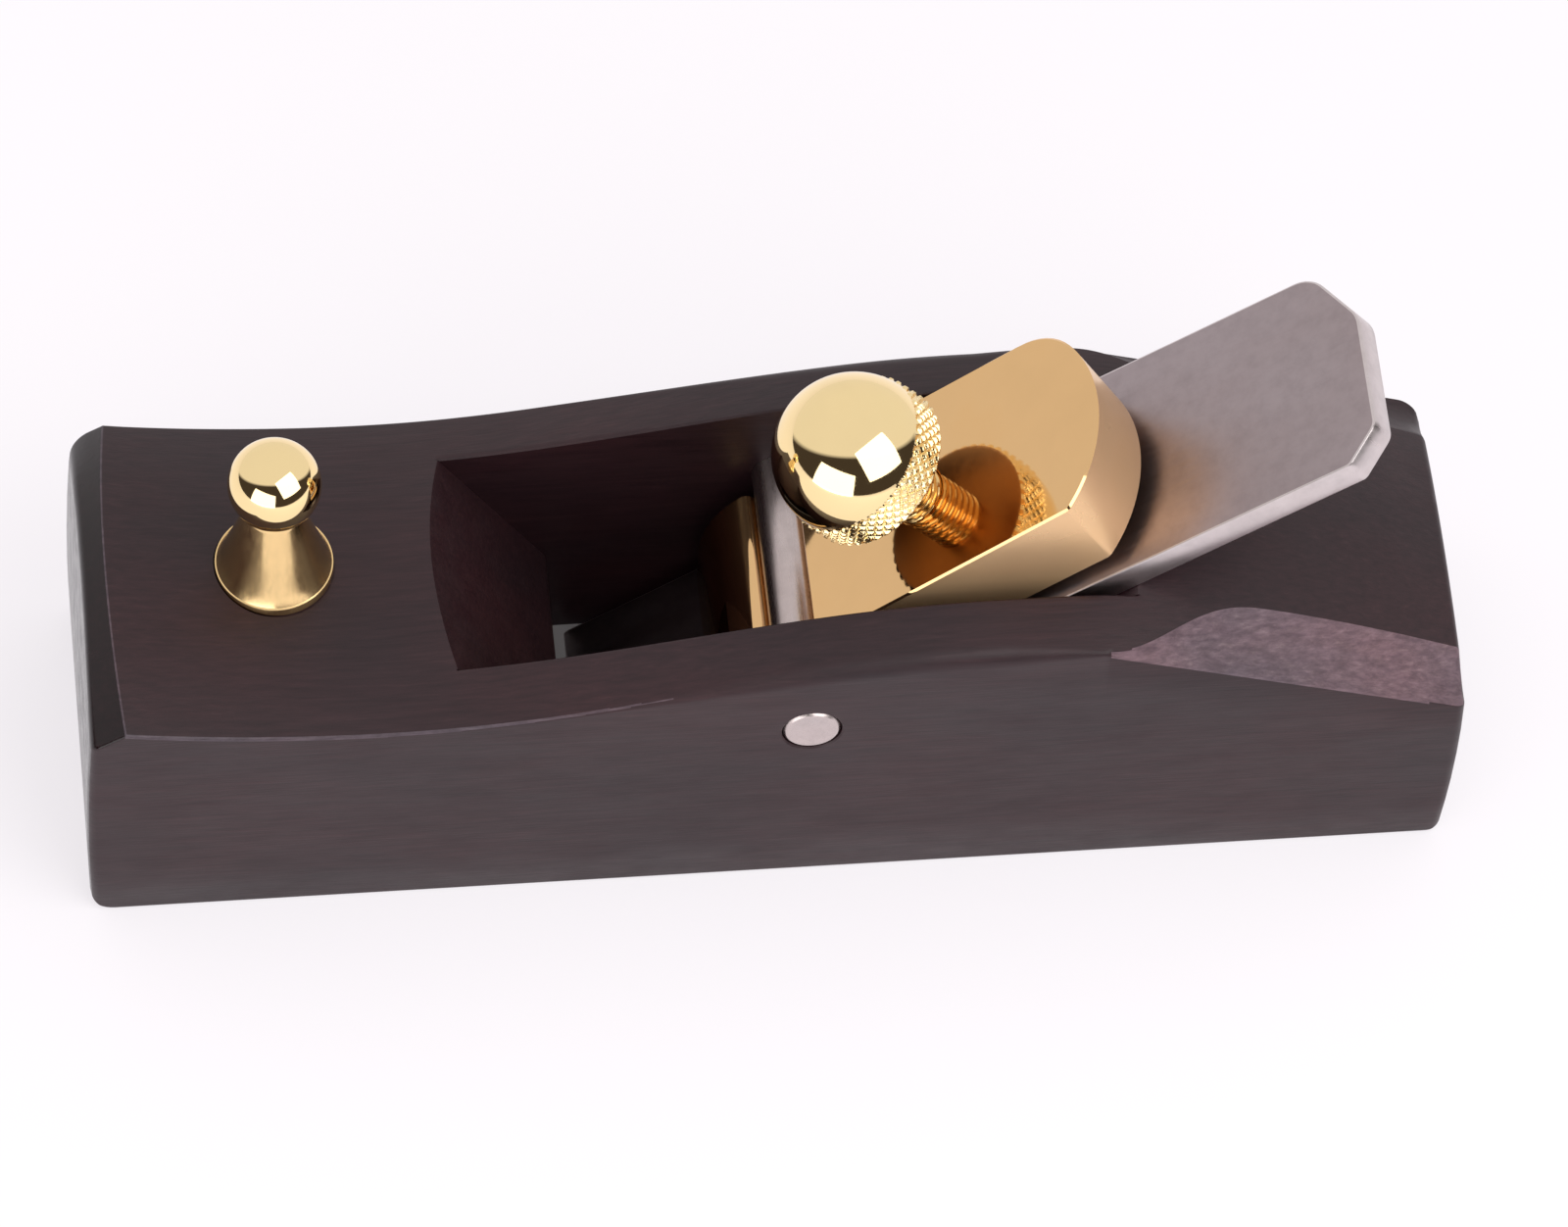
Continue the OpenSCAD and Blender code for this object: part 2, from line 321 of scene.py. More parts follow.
def ebony(name, lift=(1.0, 1.0, 1.0), dull=0.0):
    """Very dark, fine-grained hardwood with an oiled satin surface.

    lift multiplies its colour and dull adds to its roughness, on a surface that was worked apart;
    on the thin lit edge lines lift paints in a highlight.
    """
    n = Nodes(name)
    grain = n.noise(n.stretched((18, 260, 260)), 6.0, 6.0, 0.6, 0.4)
    pores = n.noise(n.stretched((60, 1400, 1400)), 3.0, 3.0, 0.7)
    cloud = n.noise(n.stretched((14, 30, 30)), 1.6, 3.0, 0.5, 0.5)
    streaks = n.ramp(
        grain,
        (0.30, (0.0180, 0.0072, 0.0095)),
        (0.62, (0.029, 0.0120, 0.0148)),
        (0.85, (0.046, 0.021, 0.023)),
    )
    colour = n.times(streaks, n.ramp(cloud, (0.32, (0.78, 0.86, 0.90)), (0.68, (1.12, 0.96, 0.98))))
    if dull:
        marks = n.noise(n.stretched((420, 900, 900)), 1.0, 5.0, 0.7)
        specks = n.ramp(marks, (0.36, (0.82, 0.80, 0.80)), (0.66, 1.28))
        colour = n.times(n.times(colour, lift), specks)
    n.link(colour, "Base Color")
    smear = n.noise(n.stretched((40, 120, 120)), 2.2, 5.0, 0.6)
    n.link(n.ramp(smear, (0.3, 0.36 + dull), (0.7, 0.50 + dull)), "Roughness")
    n.link(n.bump(grain, 0.00010, 0.22, n.bump(pores, 0.00005, 0.35)), "Normal")
    n.set(Specular_IOR_Level=0.36)
    return n.material


EVEN = (900, 900, 900)  # scratches that run no particular way


def brass(name, colour, roughness, lines_at=EVEN, scratch=0.15, tarnish=0.3, metallic=1.0):
    """Brass with fine scratches and slight tone changes; roughness is its lowest and highest."""
    n = Nodes(name)
    low, high = roughness
    lines = n.noise(n.stretched(lines_at), 1.0, 4.0, 0.65)
    patch = n.noise(n.place, 90.0, 3.0, 0.5)
    red, green, blue = colour
    darker = tuple(c * (1 - 0.10 * tarnish) for c in colour)
    redder = (red, green * (1 - 0.06 * tarnish), blue * (1 - 0.16 * tarnish))
    n.link(n.ramp(patch, (0.30, darker), (0.52, colour), (0.75, redder)), "Base Color")
    n.link(n.ramp(lines, (0.35, low), (0.65, high)), "Roughness")
    n.link(n.bump(lines, 0.00002, scratch), "Normal")
    n.set(Metallic=metallic)
    return n.material


def steel(name, colour, roughness, lines_at, scratch=0.25, turn=(0, 0, 0)):
    """Ground steel: fine lines one way, soft mottling and faint stains."""
    n = Nodes(name)
    low, high = roughness
    lines = n.noise(n.stretched(lines_at, turn), 1.0, 5.0, 0.7)
    mottled = n.noise(n.place, 420.0, 5.0, 0.65)
    stain = n.noise(n.place, 38.0, 4.0, 0.6, 0.6)
    darker = tuple(c * 0.90 for c in colour)
    lighter = tuple(min(1.0, c * 1.06) for c in colour)
    base = n.ramp(mottled, (0.30, darker), (0.55, colour), (0.8, lighter))
    n.link(n.times(base, n.ramp(stain, (0.3, (0.95, 0.93, 0.92)), (0.6, 1.0))), "Base Color")
    n.link(n.ramp(lines, (0.3, low), (0.7, high)), "Roughness")
    n.link(n.bump(lines, 0.00003, scratch, n.bump(mottled, 0.00004, 0.12)), "Normal")
    n.set(Metallic=1.0)
    return n.material


BED = 37.5  # slope of the bed and the iron, in degrees
ON_SLOPE = (0, rad(BED), 0)

EBONY = ebony("ebony")
END_EBONY = ebony("end_ebony", (0.35, 0.30, 0.30), -0.22)
# Much lighter ebony for thin lines along two edges: a painted highlight.
LIT_EDGE_EBONY = ebony("lit_edge_ebony", (3.0, 5.5, 5.2), 0.02)
FILED_EBONY = ebony("filed_ebony", (5.4, 9.0, 8.2), 0.2)

# Name, colour, lowest and highest roughness, scratches' scale, their strength, tarnish, metallic
CAP_BRASS = brass("cap_brass", (0.79, 0.505, 0.24), (0.04, 0.07), (300, 300, 300), 0.02, 0.35)
CAP_SIDES = brass("cap_sides", (0.84, 0.55, 0.30), (0.27, 0.35), (50, 240, 50), 0.0, 0.4, 0.7)
BALL_BRASS = brass("ball_brass", (0.98, 0.77, 0.41), (0.03, 0.06), (500, 500, 500), 0.02)
FOOT_BRASS = brass("foot_brass", (0.90, 0.64, 0.31), (0.13, 0.22), (1500, 1500, 200), 0.08, 0.4)
# Dark brown brass for the knob's flat underside: painted shade, for a face that sits in shadow.
SHADED_UNDER_BRASS = brass("shaded_under_brass", (0.50, 0.31, 0.17), (0.32, 0.42))
STUD_BRASS = brass("stud_brass", (0.86, 0.58, 0.24), (0.14, 0.24), EVEN, 0.1)

# Name, colour, lowest and highest roughness, lines' scale, their strength, the lines' turn
DARK_STEEL = (0.375, 0.315, 0.325)
IRON_STEEL = steel("iron_steel", DARK_STEEL, (0.30, 0.42), (60, 1500, 60), 0.22, ON_SLOPE)
# A lighter copy of the iron's steel for its sides and chamfers: a painted highlight, so they read
# brighter than the face.
IRON_LIT_EDGES = steel("iron_lit_edges", (0.66, 0.60, 0.60), (0.26, 0.36), (60, 900, 60), 0.12, ON_SLOPE)
PIN_STEEL = steel("pin_steel", (0.60, 0.52, 0.51), (0.22, 0.36), (1200, 60, 1200))
SCREW_STEEL = steel("screw_steel", (0.55, 0.54, 0.54), (0.3, 0.45), EVEN)

# ---------------------------------------------------------------------------------------------
# Stock
# ---------------------------------------------------------------------------------------------

# The top line along the middle: its low point, the level stretch of its hump, and its heights
DIP_X, HUMP_X0, HUMP_X1 = -52.0, 28.0, 36.0
TOE_H, DIP_H, HUMP_H, HEEL_H = 46.9, 42.6, 52.3, 35.2
HEEL_RUN = 110.0  # the fall to the heel is the first part of a half wave of this length
CROWN = 4.0  # fall of the top from the middle to the sides

# The bevel between the top and the toe: where it starts at the sides, its bow, and its fall
BEVEL_X, BEVEL_BOW, BEVEL_FALL = -87.0, 1.6, 0.64

# Throat and mouth
THROAT_HALF = 16.8
RAMP = 58.0  # slope of the throat's front wall, in degrees
EDGE_X = -24.8  # the iron's cutting edge
MOUTH_X = -26.4
RAMP_X, WEAR_H = -27.5, 17.0  # the steep wall over the mouth
RAMP_BOW = 1.1  # hollow of the slope above that wall, for each 25 mm of height
THROAT_ROUND, THROAT_ROUND_W = 0.30, 0.42  # the worn edge along the throat: depth and width
IRON_T = 4.3
REST_GAP = 0.02  # between faces that bear on each other across a joint
BED_X = EDGE_X + (IRON_T + REST_GAP) / math.sin(rad(BED))

# The long edges' radius at the toe, over the hump and at the heel, and where it changes
TOE_EDGE_R, HUMP_EDGE_R, HEEL_EDGE_R = 0.35, 1.85, 0.5
WEAR_X0, WEAR_X1, WEAR_X2 = -30, 10, 30

# Palm reliefs: start, length of the curve, its inner edge, fall of the lower edge, hollow
RELIEF_X, RELIEF_RUN, RELIEF_IN = 42.8, 22.0, 17.3
RELIEF_FALL, RELIEF_HOLLOW = 0.352, 0.10

# Radii of the upright corners on either side, and of the lower and upper edges of the ends
FAR_CORNER_R, NEAR_CORNER_R = 2.8, 1.4
TOE_FOOT_R, HEEL_FOOT_R, END_TOP_R = 3.2, 2.2, 0.7
SOLE_EDGE = 0.7  # rounding of the sole's long edges
MID_H = 20  # points above this height belong to the top
FOOT_H = 12  # points below this height are squeezed over a rounded foot
CORE_HALF = 16  # points nearer the middle than this aren't moved by the corners

PIN = Vector((3.9, 0, 33.85))
PIN_R, PIN_BORE_R = 3.99, 4.03
BUTTON_X = -65.6
SEAT_DEPTH = 0.5  # how far the button's foot is let into the wood


def ease(t):
    return (1 - math.cos(math.pi * t)) / 2


def line_z(x):
    """Height of the top along the middle."""
    if x < DIP_X:
        return DIP_H + (TOE_H - DIP_H) * ((DIP_X - x) / (DIP_X + HALF_L)) ** 2
    if x < HUMP_X0:
        return DIP_H + (HUMP_H - DIP_H) * ease((x - DIP_X) / (HUMP_X0 - DIP_X))
    if x < HUMP_X1:
        return HUMP_H
    whole = ease((HALF_L - HUMP_X1) / HEEL_RUN)
    return HUMP_H - (HUMP_H - HEEL_H) * ease((x - HUMP_X1) / HEEL_RUN) / whole


def arris_x(y):
    """Where the toe's bevel starts."""
    return BEVEL_X - BEVEL_BOW * (1 - (y / HALF_W) ** 2)


def top_z(x, y):
    """Height of the crowned top, and of the bevel at the toe."""
    crown = -CROWN * (y / HALF_W) ** 2
    start = arris_x(min(abs(y), HALF_W))
    if x < start:
        return line_z(start) + crown - (start - x) * BEVEL_FALL
    return line_z(x) + crown


def ramp_z(x, y):
    """The throat's front wall: a steep wall over the mouth, then a slightly hollowed slope."""
    if x > RAMP_X:
        return WEAR_H * max(0.0, (MOUTH_X - x) / (MOUTH_X - RAMP_X))
    bow = RAMP_BOW * (1 - (y / THROAT_HALF) ** 2)
    return WEAR_H + (RAMP_X - x) / (1 / math.tan(rad(RAMP)) + bow / 25)


def bed_z(x):
    return max(0.0, (x - BED_X) * math.tan(rad(BED)))


def crossing(f, low, high):
    """Where f changes sign between low and high."""
    for _ in range(40):
        mid = (low + high) / 2
        if (f(low) > 0) == (f(mid) > 0):
            low = mid
        else:
            high = mid
    return (low + high) / 2


def front_x(y):
    """Where the throat's front wall meets the top."""
    return crossing(lambda x: ramp_z(x, y) - top_z(x, y), -60, RAMP_X)


def exit_x(y):
    """Where the bed meets the top."""
    return crossing(lambda x: bed_z(x) - top_z(x, y), 30, 60)


FRONT_X, EXIT_X = front_x(THROAT_HALF), exit_x(THROAT_HALF)


def stations():
    """The stock's cross-sections, closer together where the shape turns."""
    fixed = [-HALF_L, BEVEL_X, FRONT_X, RAMP_X, MOUTH_X, BED_X, EXIT_X, RELIEF_X, HALF_L]
    xs = set(fixed) | {BEVEL_X - 0.14, BEVEL_X + 0.14}
    runs = [  # start, end and spacing
        (-92, -90.6, 0.2),
        (-90.6, -84, 0.6),
        (-84, -46, 1.6),
        (-46, -40, 0.25),
        (-40, -28, 1.0),
        (-28, -26, 0.4),
        (-26, 41, 1.4),
        (41, 52, 0.45),
        (52, 88, 1.3),
        (88, 92, 0.25),
    ]
    for low, high, gap in runs:
        count = round((high - low) / gap)
        for i in range(count):
            x = low + (high - low) * i / count
            if min(abs(x - f) for f in fixed) > 0.3 * gap:
                xs.add(x)
    return sorted(xs)


def bent(x, y):
    """Bends the section lines so that they follow the bevel's and the throat's edges."""

    def hat(at, left, right):
        return max(0.0, min((x - left) / (at - left), (right - x) / (right - at)))

    inner = min(abs(y), THROAT_HALF)
    return (
        x
        + hat(BEVEL_X, -HALF_L, -78.0) * (arris_x(min(abs(y), HALF_W)) - BEVEL_X)
        + hat(FRONT_X, -62.0, RAMP_X) * (front_x(inner) - FRONT_X)
        + hat(EXIT_X, 30.0, 70.0) * (exit_x(inner) - EXIT_X)
    )


def arris_r(x):
    """The long edges are crisp at the toe and worn round over the hump."""
    if x < WEAR_X0:
        return TOE_EDGE_R
    if x < WEAR_X1:
        worn = ease((x - WEAR_X0) / (WEAR_X1 - WEAR_X0))
        return TOE_EDGE_R + (HUMP_EDGE_R - TOE_EDGE_R) * worn
    if x < WEAR_X2:
        return HUMP_EDGE_R
    return max(HEEL_EDGE_R, HUMP_EDGE_R - (HUMP_EDGE_R - HEEL_EDGE_R) * (x - WEAR_X2) / 12)


def relief(x):
    """Inner edge and lower edge of the palm relief, or None before it starts."""
    if x < RELIEF_X:
        return None
    t = min(1.0, (x - RELIEF_X) / RELIEF_RUN)
    sweep = ((1 + math.cos(math.pi * t)) / 2) ** 1.35
    inner = RELIEF_IN + (HALF_W - 0.5 - RELIEF_IN) * sweep
    lower = line_z(RELIEF_X) - CROWN - 0.5 - RELIEF_FALL * (x - RELIEF_X)
    return inner, lower


def round_off(d, r):
    """How far a rounded edge of radius r lies back at distance d from the end."""
    return r - math.sqrt(max(0.0, r * r - (r - d) ** 2)) if d < r else 0.0


def outer_half(x):
    """Half section on the +Y side as (y, z), from the throat's edge over the top to the sole."""
    points = []
    cutout = relief(x)
    r = arris_r(x)
    yu = HALF_W - r
    zl = top_z(x, HALF_W) - r
    if cutout:
        yu = min(yu, cutout[0])
        zl = min(zl, cutout[1])

    # The top, with the throat's worn edge
    in_throat = FRONT_X - 0.05 < x < EXIT_X + 0.05
    for f in (0, 0.02, 0.05, 0.12, 0.25, 0.4, 0.55, 0.7, 0.85, 0.95, 1.0):
        y = THROAT_HALF + f * (yu - THROAT_HALF)
        drop = 0.0
        if in_throat:
            drop = THROAT_ROUND * max(0.0, 1 - (y - THROAT_HALF) / THROAT_ROUND_W) ** 2
        points.append((y, top_z(x, y) - drop))

    # The long edge, or the relief in its place
    zu, corner_z = top_z(x, yu), top_z(x, HALF_W)
    steps = 8
    for i in range(1, steps + 1):
        t = i / steps
        if cutout:
            y = yu + (HALF_W - yu) * t
            scoop = RELIEF_HOLLOW * (HALF_W - yu) * math.sin(math.pi * t)
            points.append((y - 0.25 * scoop, zu + (zl - zu) * t - scoop))
        else:
            y = (1 - t) ** 2 * yu + 2 * t * (1 - t) * HALF_W + t * t * HALF_W
            z = (1 - t) ** 2 * zu + 2 * t * (1 - t) * corner_z + t * t * zl
            points.append((y, z))
    if cutout:
        points[-1] = (HALF_W - 0.10, zl + 0.12)
        points.append((HALF_W, zl - 0.25))
    else:
        points.append((HALF_W, zl - 0.3))

    # The side, the sole's edge and the sole
    side_top = points[-1][1]
    for f in (0.8, 0.6, 0.4, 0.2):
        points.append((HALF_W, SOLE_EDGE + (side_top - SOLE_EDGE) * f))
    points += [(HALF_W, SOLE_EDGE), (HALF_W - 0.2, 0.2), (HALF_W - SOLE_EDGE, 0.0)]
    points += [(21.0, 0.0), (THROAT_HALF, 0.0)]
    return points


def end_belly(x, z):
    """How far the end faces' slight belly moves a point along x."""
    fade = max(0.0, 1 - min(x + HALF_L, HALF_L - x) / 8)
    if x < 0:
        return fade * 0.9 * ((z - 17) / 27) ** 2
    return -fade * 0.9 * ((z - 20) / 20) ** 2


def shaped(x, y, z):
    """Rounds the four upright corners and the ends' lower edges, and bellies the end faces."""
    toe, heel = x + HALF_L, HALF_L - x
    d = min(toe, heel)
    half = HALF_W - round_off(d, FAR_CORNER_R if y > 0 else NEAR_CORNER_R)
    if abs(y) > CORE_HALF:
        squeezed = (abs(y) - CORE_HALF) * (half - CORE_HALF) / (HALF_W - CORE_HALF)
        y = math.copysign(CORE_HALF + squeezed, y)
    lift = round_off(d, TOE_FOOT_R if toe < heel else HEEL_FOOT_R)
    if z < FOOT_H:
        z = lift + z * (FOOT_H - lift) / FOOT_H
    if z > MID_H:
        z -= round_off(d, END_TOP_R)
    return x + end_belly(x, z), y, z


def across(point):
    """Turns a lathe's axis along -Y through a point."""
    return Matrix.Translation(point) @ Matrix.Rotation(rad(90), 4, "X")


BUTTON_SEAT = Matrix.Translation((BUTTON_X, 0, line_z(BUTTON_X) - SEAT_DEPTH))


def build_stock():
    """A lofted skin of cross-sections with two closed ends, then its bores.

    Each section is four rows of points: the -Y and the +Y side, the floor between them, the sole.
    """
    xs = stations()
    inner_ys = [THROAT_HALF * k / 8 for k in range(-8, 9)]
    verts, faces = [], []
    outer_count, inner_count = len(outer_half(0.0)), len(inner_ys)
    row_len = 2 * outer_count + 2 * inner_count

    for x in xs:
        for side in (-1, 1):
            for y, z in outer_half(x):
                bx = bent(x, y)
                if z > MID_H:
                    z += top_z(bx, y) - top_z(x, y)
                verts.append(shaped(bx, side * y, z))
        for y in inner_ys:
            bx = bent(x, y)
            z = top_z(bx, y)
            if FRONT_X - 0.01 < x < EXIT_X + 0.01:
                z = min(z, max(ramp_z(bx, y), bed_z(bx)))
            verts.append(shaped(bx, y, z))
        for y in inner_ys:
            verts.append(shaped(bent(x, y), y, 0.0))

    left, right = 0, outer_count
    floor0 = 2 * outer_count
    sole0 = floor0 + inner_count
    for i in range(len(xs) - 1):
        a, b = i * row_len, (i + 1) * row_len
        spans = [(base, outer_count) for base in (left, right)]
        if not (MOUTH_X - 0.01 < xs[i] and xs[i + 1] < BED_X + 0.01):
            spans += [(base, inner_count) for base in (floor0, sole0)]
        for base, count in spans:
            for k in range(base, base + count - 1):
                faces.append([a + k, a + k + 1, b + k + 1, b + k])
        for base, inner in ((left, floor0), (right, floor0 + inner_count - 1)):
            faces.append([a + base, a + inner, b + inner, b + base])

    # End faces: rings drawn in towards the middle of each end
    cy, cz = 0.0, 22.0
    for i, x in ((0, xs[0]), (len(xs) - 1, xs[-1])):
        a = i * row_len
        loop = [a + floor0 + k for k in range(inner_count)]
        loop += [a + right + k for k in range(outer_count)]
        loop += [a + sole0 + k for k in range(inner_count - 1, -1, -1)]
        loop += [a + left + k for k in range(outer_count - 1, -1, -1)]
        rim = [verts[k] for k in loop]
        previous = loop
        for scale in (0.97, 0.85, 0.6, 0.3):
            ring = []
            for _, py, pz in rim:
                y, z = cy + (py - cy) * scale, cz + (pz - cz) * scale
                ring.append(len(verts))
                verts.append((x + end_belly(x, z), y, z))
            for k in range(len(loop)):
                m = (k + 1) % len(loop)
                faces.append([previous[k], previous[m], ring[m], ring[k]])
            previous = ring
        middle = len(verts)
        verts.append((x, cy, cz))
        for k in range(len(loop)):
            faces.append([previous[k], previous[(k + 1) % len(loop)], middle])

    stock = mesh_object("stock_body", verts, faces, merge=0.02)

    bore = lathe("bore", [(PIN_BORE_R, -27), (PIN_BORE_R, 27)], 64, across(PIN))
    rims = []
    for side in (-1, 1):
        cone = [(PIN_BORE_R, side * (HALF_W - 0.2)), (PIN_BORE_R + 0.42, side * (HALF_W + 0.2))]
        rims.append(lathe("rim", cone if side > 0 else cone[::-1], 64, across(PIN)))
    pocket = lathe("pocket", [(8.05, 0), (8.05, 8)], 96, BUTTON_SEAT)
    cut(stock, bore, *rims, pocket)
    shade(stock, 30)
    return stock


def stock_look(x, y, z, normal):
    """Which of the stock's materials a face has, from its middle and its normal."""
    edges = relief(x)
    line = arris_x(min(abs(y), HALF_W))
    line += end_belly(line, z)
    if edges and y < -edges[0] - 0.05 and z > edges[1] - 0.1 and normal.z > 0.1:
        return FILED
    # A thin line along the toe bevel's arris, and a line along the near top edge that tapers out
    # towards the middle, get the light ebony: painted highlights where those small edges would
    # catch the light.
    if z > 30 and abs(x - line) < 0.16 and normal.z > 0.5:
        return LIT_EDGE
    lit_width = min(0.4, 0.008 * (LIT_EDGE_END - x))
    if BEVEL_X < x < LIT_EDGE_END and y < -24.6 and z > top_z(x, HALF_W) - lit_width:
        return LIT_EDGE
    if (x < line and (normal.z > 0.4 or normal.x < -0.9)) or normal.x > 0.97:
        return END
    return PLAIN


stock = build_stock()
finish_piece(stock, "stock", ["stock"], EBONY)
PLAIN, FILED, END, LIT_EDGE = range(4)
LIT_EDGE_END = -14  # the painted highlight line along the near edge tapers out here
for extra in (FILED_EBONY, END_EBONY, LIT_EDGE_EBONY):
    stock.data.materials.append(extra)
for face in stock.data.polygons:
    face.material_index = stock_look(*(face.center / MM), face.normal)

# ---------------------------------------------------------------------------------------------
# Cross pin, strike button and its screw
# ---------------------------------------------------------------------------------------------


def build_pin():
    half = [  # radius and distance from the middle, from the faced end to the shank
        (0, 24.86),
        (2.6, 24.90),
        (2.9, 24.99),
        (3.35, 25.0),
        (3.5, 24.96),
        (3.9, 24.55),
        (PIN_R, 24.35),
        (PIN_R, 24.0),
    ]
    profile = [(r, -z) for r, z in half] + [(PIN_R, 0)] + [(r, z) for r, z in reversed(half)]
    pin = lathe("cross_pin_body", profile, 96, across(PIN))
    shade(pin, 25)
    return pin


finish_piece(build_pin(), "stock", ["cross_pin"], PIN_STEEL)


def build_button():
    ball_r, ball_z, neck_r, foot_r, rim = 6.2, 19.2, 3.7, 7.9, 1.6
    edge = 0.25
    neck_z = ball_z - math.sqrt(ball_r**2 - neck_r**2)
    profile = [(0, 0), (foot_r - edge, 0), (foot_r, edge), (foot_r, rim - edge)]
    profile += [(foot_r - 0.08, rim - 0.08), (foot_r - edge, rim)]
    for i in range(1, 17):
        t = i / 16
        r = neck_r + (foot_r - edge - neck_r) * (1 - t**0.82)
        profile.append((r, rim + (neck_z - edge - rim) * t))
    profile.append((neck_r - 0.12, neck_z - 0.1))
    start = math.degrees(math.asin(-(ball_z - neck_z) / ball_r))
    profile += arc(0, ball_z, ball_r, start, 90, 40)
    profile[-1] = (0, ball_z + ball_r)
    button = lathe("strike_button_body", profile, 128, BUTTON_SEAT)
    shade(button, 30)
    return button


NECK_Z = line_z(BUTTON_X) + 14  # the foot's satin finish ends here
button = finish_piece(build_button(), "stock", ["strike_button"], BALL_BRASS)
second_material(button, FOOT_BRASS, lambda face: face.center.z < NECK_Z * MM)


def thread(name, r, low, high, pitch, depth, to_world, steps):
    """A rod with a helical V thread that fades out over its last bit at either end."""
    run_out = 0.6
    rows = max(8, round((high - low) / (pitch / 10)))
    profile = [(0.0, low), (r - depth, low)]
    profile += [(r, low + (high - low) * i / rows) for i in range(1, rows)]
    profile += [(r - depth, high), (0.0, high)]

    def radius(base, z, turn):
        if base < r:
            return base
        phase = ((z - low) / pitch - turn / (2 * math.pi)) % 1.0
        groove = abs(2 * phase - 1)
        fade = min(1.0, (z - low) / run_out, (high - z) / run_out)
        return r - depth * (1 - fade * min(1.0, 1.9 * groove))

    return lathe(name, profile, steps, to_world, radius)


SCREW_R, SCREW_L, SCREW_DEPTH, SCREW_PITCH = 2.0, 28.4, 20, 1.4
in_wood = Matrix.Translation((BUTTON_X, 0, line_z(BUTTON_X) - SCREW_DEPTH))
strike_screw = thread("strike_screw_body", SCREW_R, 0, SCREW_L, SCREW_PITCH, 0.45, in_wood, 48)
shade(strike_screw, 40)
finish_piece(strike_screw, "stock", ["strike_screw"], SCREW_STEEL)

# ---------------------------------------------------------------------------------------------
# Iron
# ---------------------------------------------------------------------------------------------


IRON_HALF, IRON_L = 15.6, 128.0
GRIND = 28  # the cutting bevel, in degrees


def build_iron():
    half, length, t = IRON_HALF, IRON_L, IRON_T
    corners = [  # along, across, radius
        (0, -half, 0),
        (length - 4.6, -half, 1.6),
        (length, -half + 4.4, 2.2),
        (length, half - 9.2, 4.5),
        (length - 6, half, 5.0),
        (0, half, 0),
    ]
    plan = rounded([c[:2] for c in corners], [c[2] for c in corners], 8)
    on_bed = Matrix.Translation((EDGE_X, 0, 0)) @ Matrix.Rotation(-rad(BED), 4, "Y")
    iron = extrusion("iron_body", plan, -t, 0, "z", on_bed)
    ground = t / math.tan(rad(GRIND)) + 1 / math.tan(rad(GRIND))
    wedge = [(-1, -t - 1), (ground, -t - 1), (0, 0), (-1, 0)]
    cut(iron, extrusion("wedge", wedge, -20, 20, "y", on_bed))
    clean(iron)
    soften(iron, 0.32, 2, 26)
    shade(iron, 30)
    return iron


iron = finish_piece(build_iron(), "iron", ["iron"], IRON_STEEL)
flat_up = Vector((-math.sin(rad(BED)), 0, math.cos(rad(BED))))
# The iron's sides and chamfers take the lighter steel: a painted highlight along its edges.
second_material(iron, IRON_LIT_EDGES, lambda face: abs(face.normal.dot(flat_up)) <= 0.97)

# ---------------------------------------------------------------------------------------------
# Lever cap
# ---------------------------------------------------------------------------------------------

# The cap's frame: s runs up its flat face from the pin's axis, n stands square to the face
FACE = 41.5  # slope of the cap's flat face, in degrees
FACE_N = 2.74
CAP_HALF = 14.3
CAP_L = 53.4
CAP_T, CAP_FALL = 12.5, 0.85  # thickness at the screw, and how much it grows to the rear
CAP_END_R, CAP_CORNER_R = 18.5, 9.0
CAP_LEAN = 12  # undercut of the end wall, in degrees
NOSE_X, NOSE_R = -7.0, 16.5
NOSE_GAP = 0.03
GROOVE_R = 4.05  # the groove over the pin
LEAD_IN = 0.8
HOLE_R = 4.05
SCREW_ARM = 23.2
ON_CAP = Matrix.Translation(PIN) @ Matrix.Rotation(-rad(FACE), 4, "Y")
ON_SCREW = ON_CAP @ Matrix.Translation((SCREW_ARM, 0, 0))
CAP_UP = ON_CAP.col[2].to_3d()
PIN_OVER_IRON = (PIN.z - (PIN.x - EDGE_X) * math.tan(rad(BED))) * math.cos(rad(BED))


def iron_n(s):
    """The iron's face in the cap's frame."""
    rise = rad(FACE - BED)
    return -PIN_OVER_IRON / math.cos(rise) - s * math.tan(rise)


def cap_plan(front):
    """Outline along and across: straight sides, a wide round end and one well-rounded corner."""
    mid = CAP_L - CAP_END_R
    near = math.degrees(math.asin(CAP_HALF / CAP_END_R))
    near_s = mid + CAP_END_R * math.cos(rad(near))
    inner = CAP_HALF - CAP_CORNER_R
    corner_s = mid + math.sqrt((CAP_END_R - CAP_CORNER_R) ** 2 - inner**2)
    far = math.degrees(math.atan2(inner, corner_s - mid))
    plan = [(front, -CAP_HALF - 1), (near_s, -CAP_HALF - 1)]
    plan += arc(mid, 0, CAP_END_R, -near, far, 40)
    plan += arc(corner_s, inner, CAP_CORNER_R, far, 90, 8)[1:]
    return plan + [(corner_s, CAP_HALF + 1), (front, CAP_HALF + 1)]


